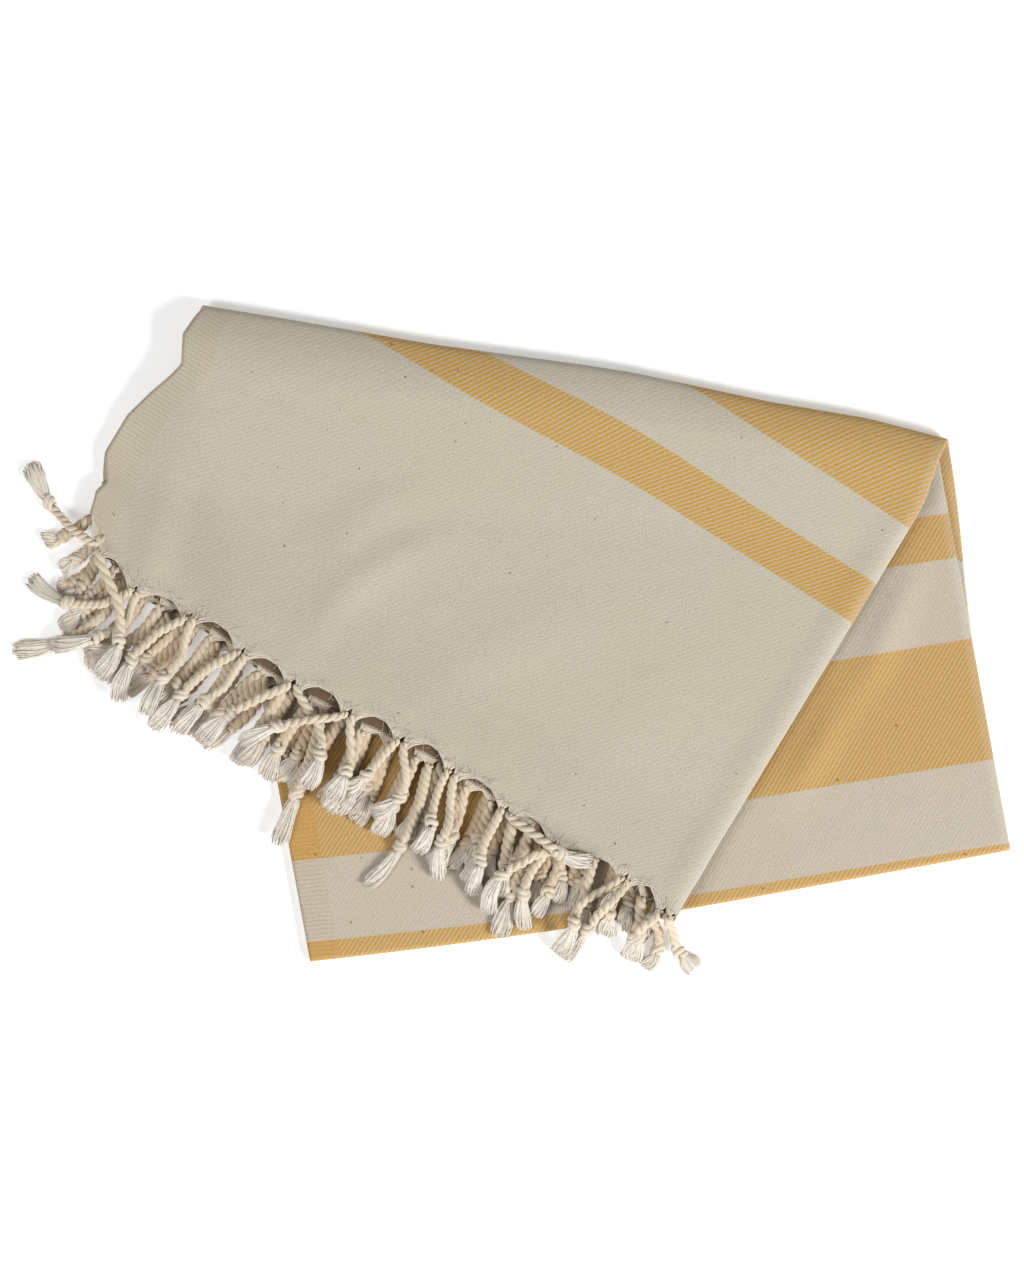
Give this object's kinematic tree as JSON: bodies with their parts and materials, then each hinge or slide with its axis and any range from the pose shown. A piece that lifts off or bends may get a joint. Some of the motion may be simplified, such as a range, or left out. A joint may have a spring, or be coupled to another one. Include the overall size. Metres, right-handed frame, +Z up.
{
  "type": "hammam towel",
  "caption": "Folded hammam towel of natural cotton twill with mustard stripes and tied, twisted tassels, its fringed end turned over the top as a front flap.",
  "frame": {"origin": "Middle of the box around the folded towel, on the surface that it lies on.", "axes": "+X to the right along the bottom and top folds as the towel is seen from above, +Y up the towel from its fringed front edge to its rolled top edge, +Z up from the surface through the layers."},
  "size_m": [0.7041, 0.4746, 0.0317],
  "materials": {
    "cloth": "matt unbleached cotton twill with seed flecks and mustard weft stripes, plain-woven selvedges",
    "fringe": "matt two-ply twisted cotton warp cords, knotted, with loose yarn brushes"
  },
  "bodies": {
    "root": {"cloth": "cloth", "fringe_upper": "fringe", "fringe_lower": "fringe"}
  },
  "joints": []
}
